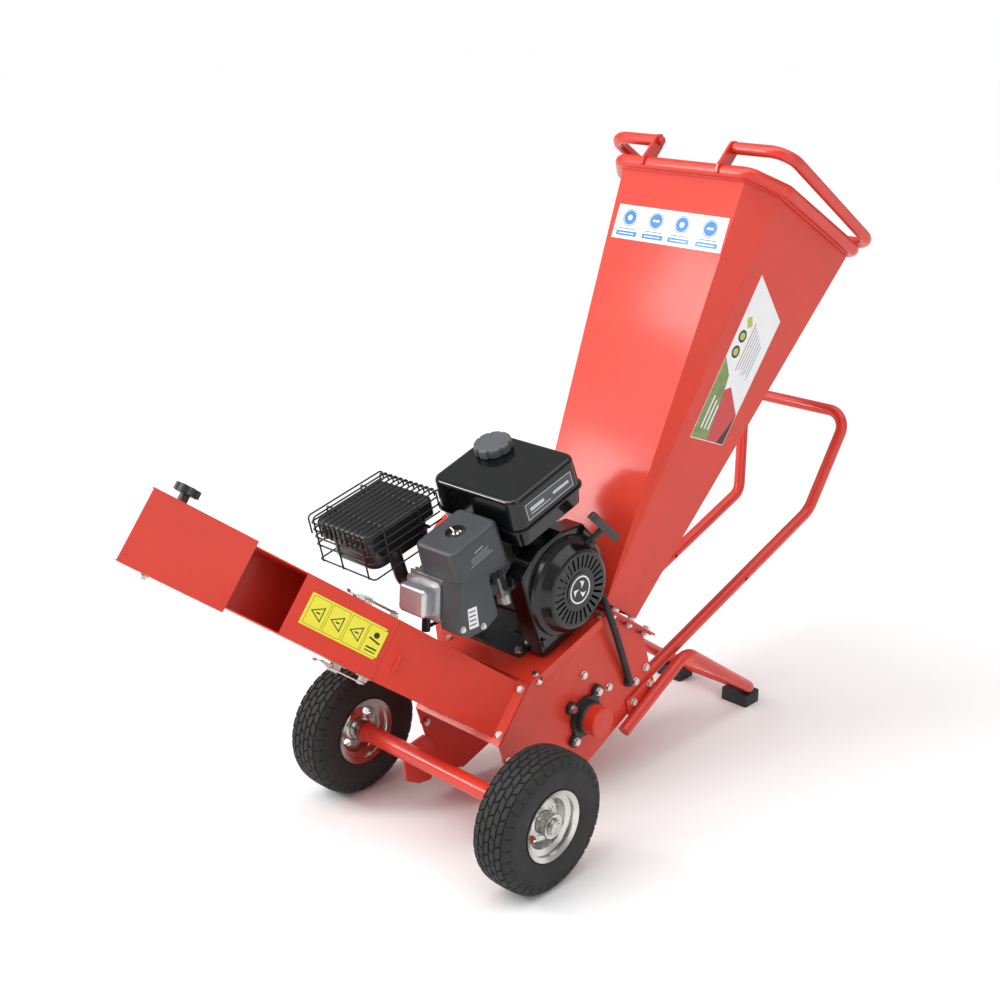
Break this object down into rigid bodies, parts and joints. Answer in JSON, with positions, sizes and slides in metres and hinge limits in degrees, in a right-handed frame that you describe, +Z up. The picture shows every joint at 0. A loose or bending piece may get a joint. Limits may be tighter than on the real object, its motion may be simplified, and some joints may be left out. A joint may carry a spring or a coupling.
{
  "type": "wood chipper",
  "caption": "Wheeled petrol wood chipper with a tall feed hopper, angled discharge chute, engine on a tray, push handle and rear stand.",
  "frame": {"origin": "on the ground, at the centre of the whole machine's footprint", "axes": "+Z up, +Y from the chute side to the handle side, +X towards the engine's recoil starter; the wheel axle runs along X"},
  "size_m": [0.6478, 1.6102, 1.2147],
  "materials": {
    "paint": "gloss",
    "tube_paint": "gloss",
    "black_gloss": "gloss",
    "black_plastic": "satin",
    "grey_plastic": "satin",
    "cover_plastic": "gloss",
    "cast_alu": "cast",
    "steel": "satin",
    "zinc": "bright zinc",
    "tool_steel": "ground",
    "iron": "rough",
    "rubber": "matt",
    "tyre": "matt"
  },
  "bodies": {
    "chassis": {"air_cleaner_base": "grey_plastic", "air_cleaner_cover": "grey_plastic", "axle_shaft": "steel", "axle_tube": "tube_paint", "bearing_cap": "paint", "belt_guard": "paint", "belts": "rubber", "carburettor": "cast_alu", "chute_base": "paint", "chute_upper": "paint", "conduit": "rubber", "counter_blade": "tool_steel", "crankcase": "cast_alu", "cylinder_head": "cast_alu", "deflector_pivot": "zinc", "engine_tray": "paint", "fan_cover": "black_gloss", "frame_bolts": "zinc", "fuel_tank": "black_gloss", "handle_frame": "tube_paint", "hopper_flange": "paint", "hopper_rim_tube": "tube_paint", "hopper_shell": "paint", "hub_bearings": "steel", "latch_plates": "zinc", "muffler": "black_gloss", "muffler_guard": "zinc", "rear_stand": "tube_paint", "recoil_cover": "cover_plastic", "rotor_bearings": "iron", "rotor_housing": "paint", "side_plate_left": "paint", "side_plate_right": "paint", "spark_plug": "black_plastic", "stand_feet": "rubber", "valve_cover": "cast_alu"},
    "wheel_right": {"tyre_right": "tyre", "rim_right": "steel"},
    "wheel_left": {"tyre_left": "tyre", "rim_left": "steel"},
    "rotor": {"rotor_shaft": "steel", "rotor_drum": "iron", "rotor_blades": "tool_steel", "driven_pulley": "iron"},
    "crank": {"crankshaft": "steel", "drive_pulley": "iron"},
    "deflector": {"chute_deflector": "paint"},
    "knob": {"deflector_knob": "black_plastic"},
    "lever_top": {"latch_lever_top": "zinc"},
    "lever_bottom": {"latch_lever_bottom": "zinc"},
    "bail_top": {"latch_bail_top": "zinc"},
    "bail_bottom": {"latch_bail_bottom": "zinc"},
    "stop_bar": {"hopper_stop_bar": "tube_paint"},
    "starter_grip": {"recoil_handle": "black_plastic"},
    "tank_cap": {"fuel_cap": "black_plastic"},
    "cleaner_nut": {"wing_nut": "zinc"},
    "choke": {"choke_lever": "black_plastic"},
    "switch": {"stop_switch": "black_plastic"},
    "dipstick": {"oil_dipstick": "black_plastic"}
  },
  "joints": [
    {"name": "wheel_right_spin", "type": "hinge", "parent": "chassis", "child": "wheel_right", "pos_m": [0.27926, -0.31537, 0.13], "axis": [1, 0, 0], "continuous": true},
    {"name": "wheel_left_spin", "type": "hinge", "parent": "chassis", "child": "wheel_left", "pos_m": [-0.20754, -0.31537, 0.13], "axis": [1, 0, 0], "continuous": true},
    {"name": "rotor_spin", "type": "hinge", "parent": "chassis", "child": "rotor", "pos_m": [0.03586, -0.04126, 0.17848], "axis": [1, 0, 0], "continuous": true},
    {"name": "crank_spin", "type": "hinge", "parent": "chassis", "child": "crank", "pos_m": [0.03586, -0.08617, 0.45766], "axis": [1, 0, 0], "continuous": true},
    {"name": "deflector_tilt", "type": "hinge", "parent": "chassis", "child": "deflector", "pos_m": [-0.23147, -0.69631, 0.61772], "axis": [0, -0.6198, -0.7848], "range_deg": [0, 45]},
    {"name": "knob_turn", "type": "hinge", "parent": "chassis", "child": "knob", "pos_m": [-0.23147, -0.6458, 0.68168], "axis": [0, 0.6198, 0.7848], "range_deg": [0, 270]},
    {"name": "latch_top_lever", "type": "hinge", "parent": "chassis", "child": "lever_top", "pos_m": [-0.08019, -0.37931, 0.45241], "axis": [-0.8988, 0.344, -0.2717], "range_deg": [0, 100]},
    {"name": "latch_top_bail", "type": "hinge", "parent": "lever_top", "child": "bail_top", "pos_m": [-0.08457, -0.38481, 0.45994], "axis": [-0.8988, 0.344, -0.2717], "range_deg": [-100, 0]},
    {"name": "latch_bottom_lever", "type": "hinge", "parent": "chassis", "child": "lever_bottom", "pos_m": [-0.08019, -0.46205, 0.34765], "axis": [0.8988, -0.344, 0.2717], "range_deg": [0, 100]},
    {"name": "latch_bottom_bail", "type": "hinge", "parent": "lever_bottom", "child": "bail_bottom", "pos_m": [-0.08457, -0.47066, 0.35126], "axis": [0.8988, -0.344, 0.2717], "range_deg": [-100, 0]},
    {"name": "stop_bar_lift", "type": "hinge", "parent": "chassis", "child": "stop_bar", "pos_m": [0.03586, 0.37853, 1.20191], "axis": [1, 0, 0], "range_deg": [0, 15]},
    {"name": "starter_pull", "type": "slide", "parent": "chassis", "child": "starter_grip", "axis": [0.349, 0.6218, 0.7011], "range_m": [0, 0.45]},
    {"name": "tank_cap_turn", "type": "hinge", "parent": "chassis", "child": "tank_cap", "pos_m": [-0.02114, -0.11933, 0.69859], "axis": [0, -0.3173, 0.9483], "range_deg": [0, 90]},
    {"name": "cleaner_nut_turn", "type": "hinge", "parent": "chassis", "child": "cleaner_nut", "pos_m": [0.05486, -0.28871, 0.59024], "axis": [0, -0.3173, 0.9483], "range_deg": [0, 270]},
    {"name": "choke_turn", "type": "hinge", "parent": "chassis", "child": "choke", "pos_m": [0.09236, -0.20319, 0.47334], "axis": [-1, 0, 0], "range_deg": [0, 45]},
    {"name": "switch_rock", "type": "hinge", "parent": "chassis", "child": "switch", "pos_m": [0.13836, -0.14931, 0.36272], "axis": [0, 0.9483, 0.3173], "range_deg": [0, 8]},
    {"name": "dipstick_turn", "type": "hinge", "parent": "chassis", "child": "dipstick", "pos_m": [0.06986, -0.13602, 0.36083], "axis": [0, -0.9483, -0.3173], "range_deg": [0, 270]}
  ],
  "couplings": [
    {"joint": "crank_spin", "follows": "rotor_spin", "ratio": 1.5556},
    {"joint": "latch_top_bail", "follows": "latch_top_lever", "ratio": -1},
    {"joint": "latch_bottom_bail", "follows": "latch_bottom_lever", "ratio": -1}
  ]
}
